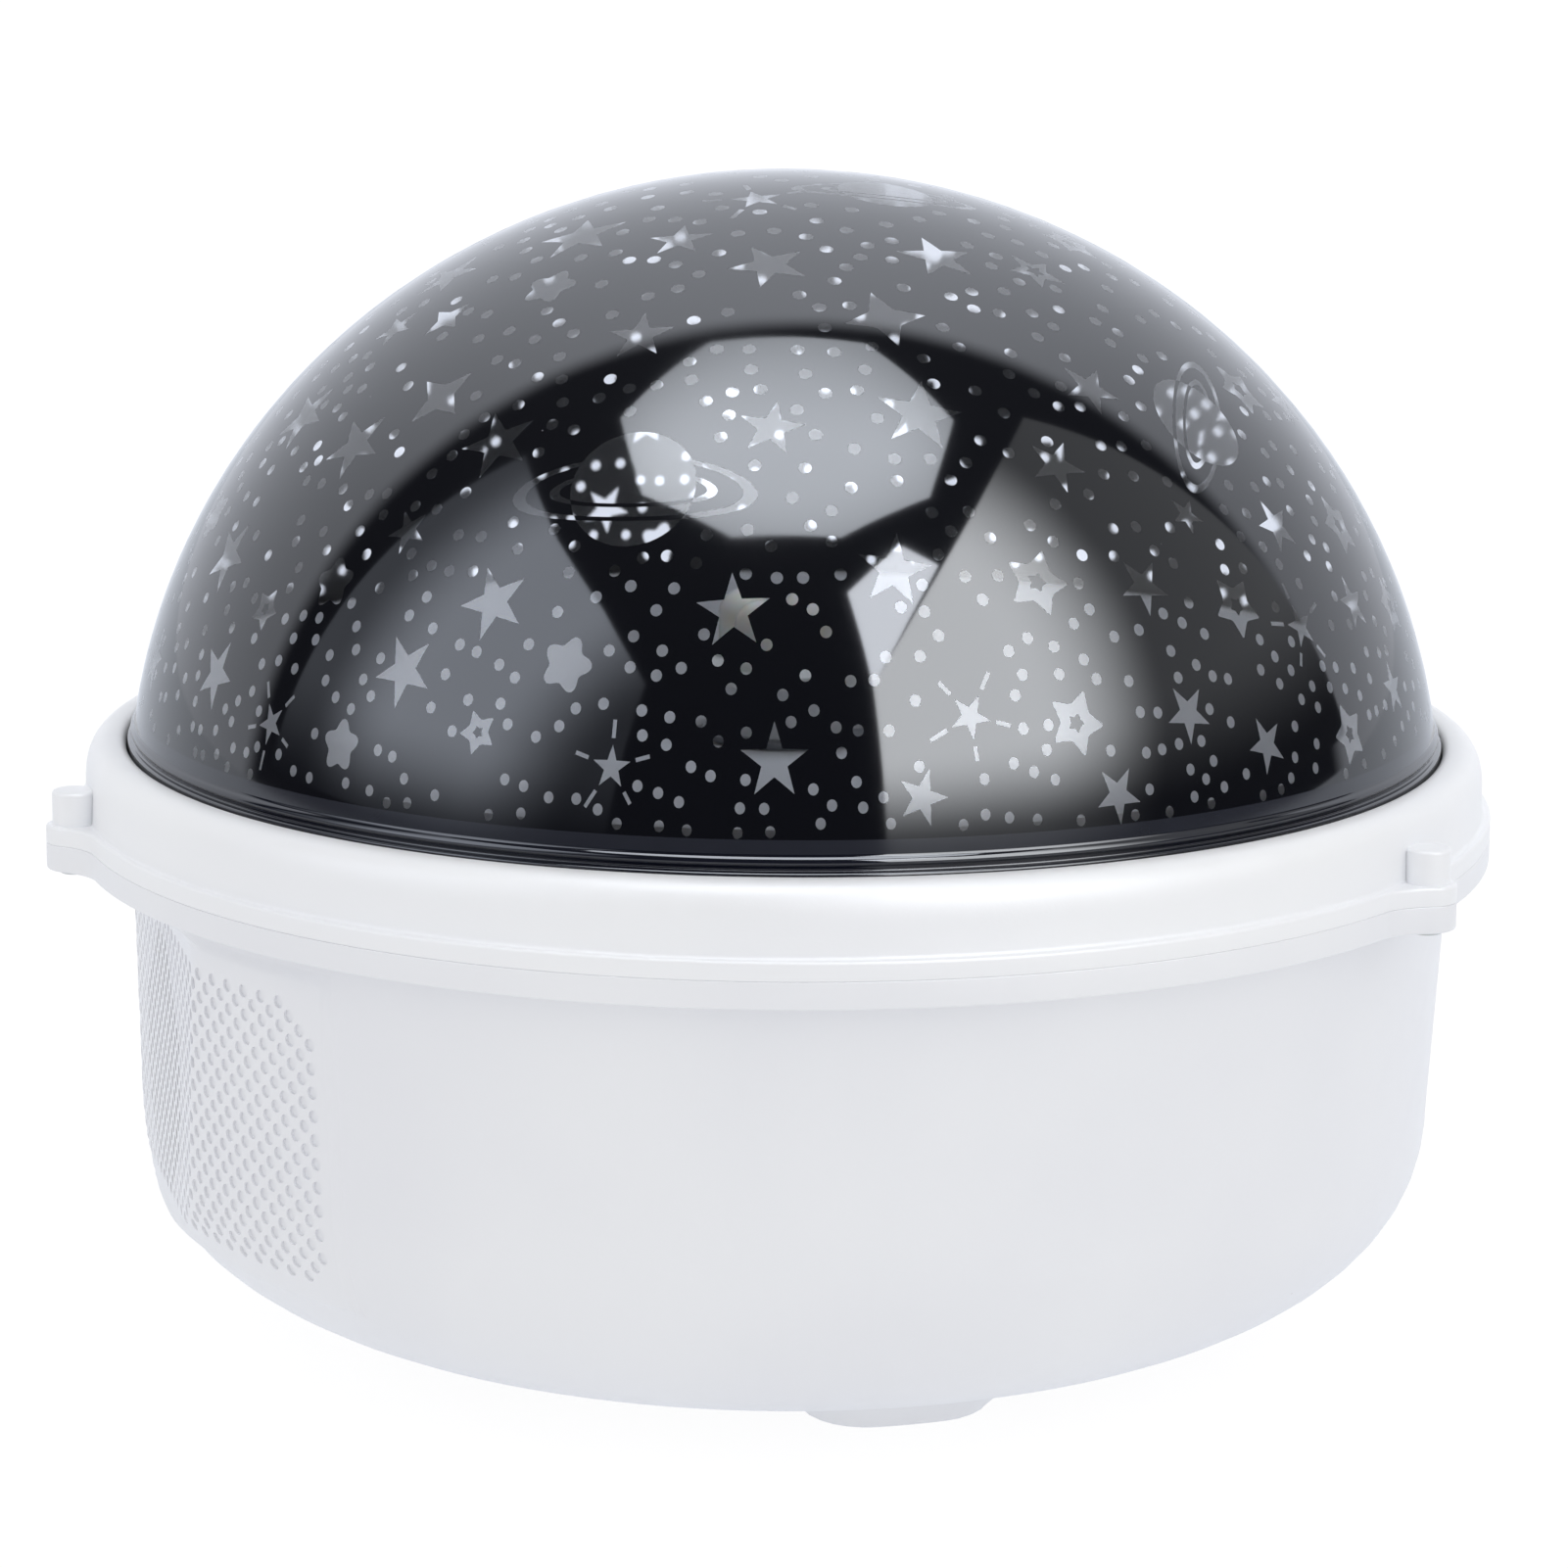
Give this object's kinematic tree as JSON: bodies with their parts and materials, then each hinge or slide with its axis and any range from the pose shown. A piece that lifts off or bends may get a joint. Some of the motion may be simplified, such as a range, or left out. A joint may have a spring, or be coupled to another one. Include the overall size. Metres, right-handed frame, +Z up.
{
  "type": "star projector night light",
  "caption": "Star projector night light: printed dome that turns in a white round base with a speaker grille, push buttons and feet.",
  "frame": {"origin": "on the dome's axis, in the plane of the feet", "axes": "+Z up along the dome's axis; -Y towards the plain front; the speaker grille looks 194 degrees from +X and the button panel 14 degrees from +X"},
  "size_m": [0.1413, 0.14, 0.114],
  "materials": {
    "white_shell": "satin white moulded plastic",
    "dome_print": "gloss smoke plastic with a dark print",
    "tray_white": "satin white plastic",
    "gear_resin": "natural acetal",
    "nylon": "nylon",
    "zinc_steel": "zinc plated",
    "board_white": "white solder mask",
    "lamp_resin": "clear resin",
    "inner_grey": "moulded grey plastic",
    "gearbox_brass": "satin",
    "motor_steel": "drawn",
    "foam": "closed cell foam",
    "speaker_steel": "pressed",
    "cone_paper": "matt",
    "magnet_dark": "sintered",
    "button_grey": "satin",
    "indicator_clear": "frosted clear",
    "board_green": "green solder mask",
    "switch_black": "matt",
    "chip_black": "matt",
    "socket_steel": "nickel plated",
    "cell_wrap": "shrink wrap",
    "holder_black": "matt"
  },
  "bodies": {
    "base": {"lower_bowl": "white_shell", "collar_ring": "white_shell", "case_screws": "zinc_steel", "thrust_washer": "nylon", "retaining_ring": "zinc_steel", "pivot_post": "tray_white", "led_board": "board_white", "led_lamps": "lamp_resin", "deck_plate": "inner_grey", "deck_screws": "zinc_steel", "motor_gearbox": "gearbox_brass", "motor_can": "motor_steel", "motor_bracket": "tray_white", "motor_screws": "zinc_steel", "speaker_gasket": "foam", "speaker_frame": "speaker_steel", "speaker_cone": "cone_paper", "speaker_magnet": "magnet_dark", "speaker_screws": "zinc_steel", "button_panel": "white_shell", "indicator_lens": "indicator_clear", "control_board": "board_green", "tact_switches": "switch_black", "board_parts": "chip_black", "usb_socket": "socket_steel", "board_screws": "zinc_steel", "battery_cell": "cell_wrap", "battery_holder": "holder_black", "battery_strap": "holder_black"},
    "dome": {"star_dome": "dome_print", "turntable": "tray_white", "drive_gear": "gear_resin"},
    "motor_pinion": {"pinion": "gear_resin", "motor_shaft": "motor_steel"},
    "power_button": {"button_power": "button_grey"},
    "light_button": {"button_light": "button_grey"},
    "music_button": {"button_music": "button_grey"},
    "timer_button": {"button_timer": "button_grey"}
  },
  "joints": [
    {"name": "dome_spin", "type": "hinge", "parent": "base", "child": "dome", "pos_m": [0, 0, 0.0548], "axis": [0, 0, 1], "continuous": true},
    {"name": "pinion_spin", "type": "hinge", "parent": "base", "child": "motor_pinion", "pos_m": [-0.00677, 0.02717, 0.0518], "axis": [0, 0, 1], "continuous": true},
    {"name": "power_press", "type": "slide", "parent": "base", "child": "power_button", "axis": [-0.9703, -0.2419, 0], "range_m": [0, 0.0006], "stiffness_N_per_m": 800, "springref_m": -0.0004},
    {"name": "light_press", "type": "slide", "parent": "base", "child": "light_button", "axis": [-0.9703, -0.2419, 0], "range_m": [0, 0.0006], "stiffness_N_per_m": 800, "springref_m": -0.0004},
    {"name": "music_press", "type": "slide", "parent": "base", "child": "music_button", "axis": [-0.9703, -0.2419, 0], "range_m": [0, 0.0006], "stiffness_N_per_m": 800, "springref_m": -0.0004},
    {"name": "timer_press", "type": "slide", "parent": "base", "child": "timer_button", "axis": [-0.9703, -0.2419, 0], "range_m": [0, 0.0006], "stiffness_N_per_m": 800, "springref_m": -0.0004}
  ],
  "couplings": [
    {"joint": "pinion_spin", "follows": "dome_spin", "ratio": -4}
  ]
}
